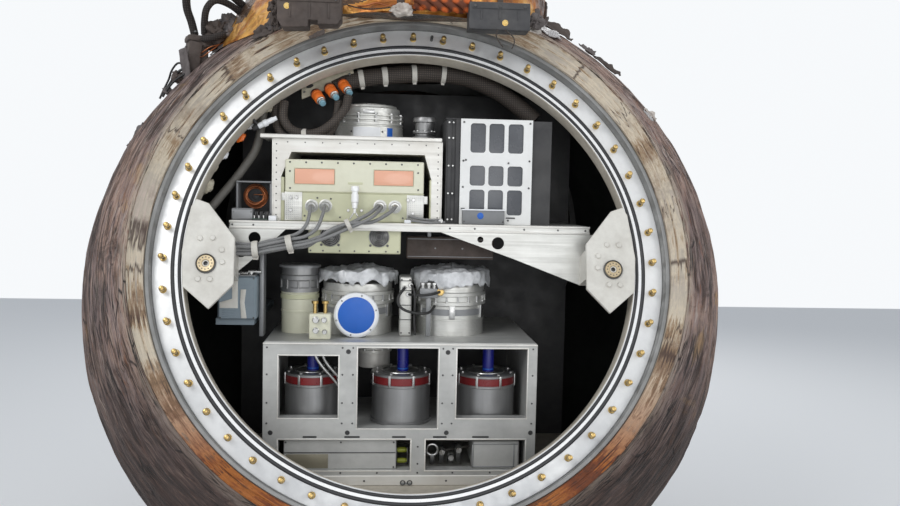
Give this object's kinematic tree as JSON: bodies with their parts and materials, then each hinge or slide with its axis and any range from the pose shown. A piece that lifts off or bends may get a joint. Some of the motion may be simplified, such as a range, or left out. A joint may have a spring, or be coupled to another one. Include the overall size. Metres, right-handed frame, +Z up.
{
  "type": "biological research satellite descent capsule",
  "caption": "Landed ball-shaped return capsule of a research satellite: charred heat shield, sealed round hatch open on shelf, racks, vessels and canisters.",
  "frame": {"origin": "centre of the crushed flat that the ball rests on", "axes": "+Z up, -Y out of the open hatch side, +X to the right as seen from the hatch side"},
  "size_m": [2.3, 2.1626, 2.2454],
  "materials": {
    "charred_shield": "charred, cracked and flaking ablative heat shield",
    "bright_flange": "machined bright flange face",
    "grey_ring": "dull grey alloy ring",
    "amber_layers": "burnt amber layered insulation and foil",
    "seal_rubber": "black rubber seal",
    "white_paint": "white painted plate",
    "rack_alloy": "bare aluminium rack metal",
    "cream_paint": "cream and pale green enamel",
    "dark_paint": "near-black paint",
    "grey_paint": "grey enamel",
    "copper": "lacquered copper winding",
    "blue_paint": "blue enamel",
    "white_plastic": "crumpled translucent white plastic film over a stiff cap",
    "floor_lining": "beige floor lining",
    "fan_black": "black plastic fan rotor"
  },
  "bodies": {
    "capsule": {"capsule_shell_front": "charred_shield", "capsule_shell_rear": "charred_shield", "rear_hatch_cover": "charred_shield", "hatch_flange": "bright_flange", "neck_ring": "grey_ring", "rear_hatch_ring": "grey_ring", "edge_band": "amber_layers", "parachute_well": "amber_layers", "seal_outer": "seal_rubber", "seal_inner": "seal_rubber", "bracket_plate_left": "white_paint", "bracket_plate_right": "white_paint", "module_face": "white_paint", "main_shelf": "rack_alloy", "gusset_left": "rack_alloy", "gusset_right": "rack_alloy", "portal_frame": "rack_alloy", "portal_top": "rack_alloy", "lower_frame": "rack_alloy", "mid_deck": "rack_alloy", "lower_panel": "rack_alloy", "drum_main": "rack_alloy", "drum_small": "rack_alloy", "vessel_middle": "rack_alloy", "vessel_right": "rack_alloy", "control_unit_upper": "cream_paint", "control_unit_lower": "cream_paint", "fan_housing": "cream_paint", "vessel_left": "cream_paint", "frame_sill": "cream_paint", "regulator": "cream_paint", "connector_bracket": "cream_paint", "module_case": "dark_paint", "collar_box_left": "dark_paint", "collar_box_right": "dark_paint", "side_block": "dark_paint", "cross_bulkhead": "dark_paint", "coil_box": "grey_paint", "grey_box": "grey_paint", "side_case": "grey_paint", "lower_box": "grey_paint", "valve_block": "grey_paint", "canister_left": "grey_paint", "canister_middle": "grey_paint", "canister_right": "grey_paint", "coil_ring": "copper", "round_disc": "blue_paint", "blue_bottle_left": "blue_paint", "blue_bottle_middle": "blue_paint", "blue_bottle_right": "blue_paint", "vessel_cover_middle": "white_plastic", "vessel_cover_right": "white_plastic", "cabin_floor": "floor_lining"},
    "fan_left": {"fan_hub_left": "fan_black"},
    "fan_right": {"fan_hub_right": "fan_black"}
  },
  "joints": [
    {"name": "fan_left_spin", "type": "hinge", "parent": "capsule", "child": "fan_left", "pos_m": [-0.261, -0.54504, 1.40039], "axis": [0, -1, 0], "continuous": true},
    {"name": "fan_right_spin", "type": "hinge", "parent": "capsule", "child": "fan_right", "pos_m": [-0.1055, -0.54504, 1.40039], "axis": [0, -1, 0], "continuous": true}
  ]
}
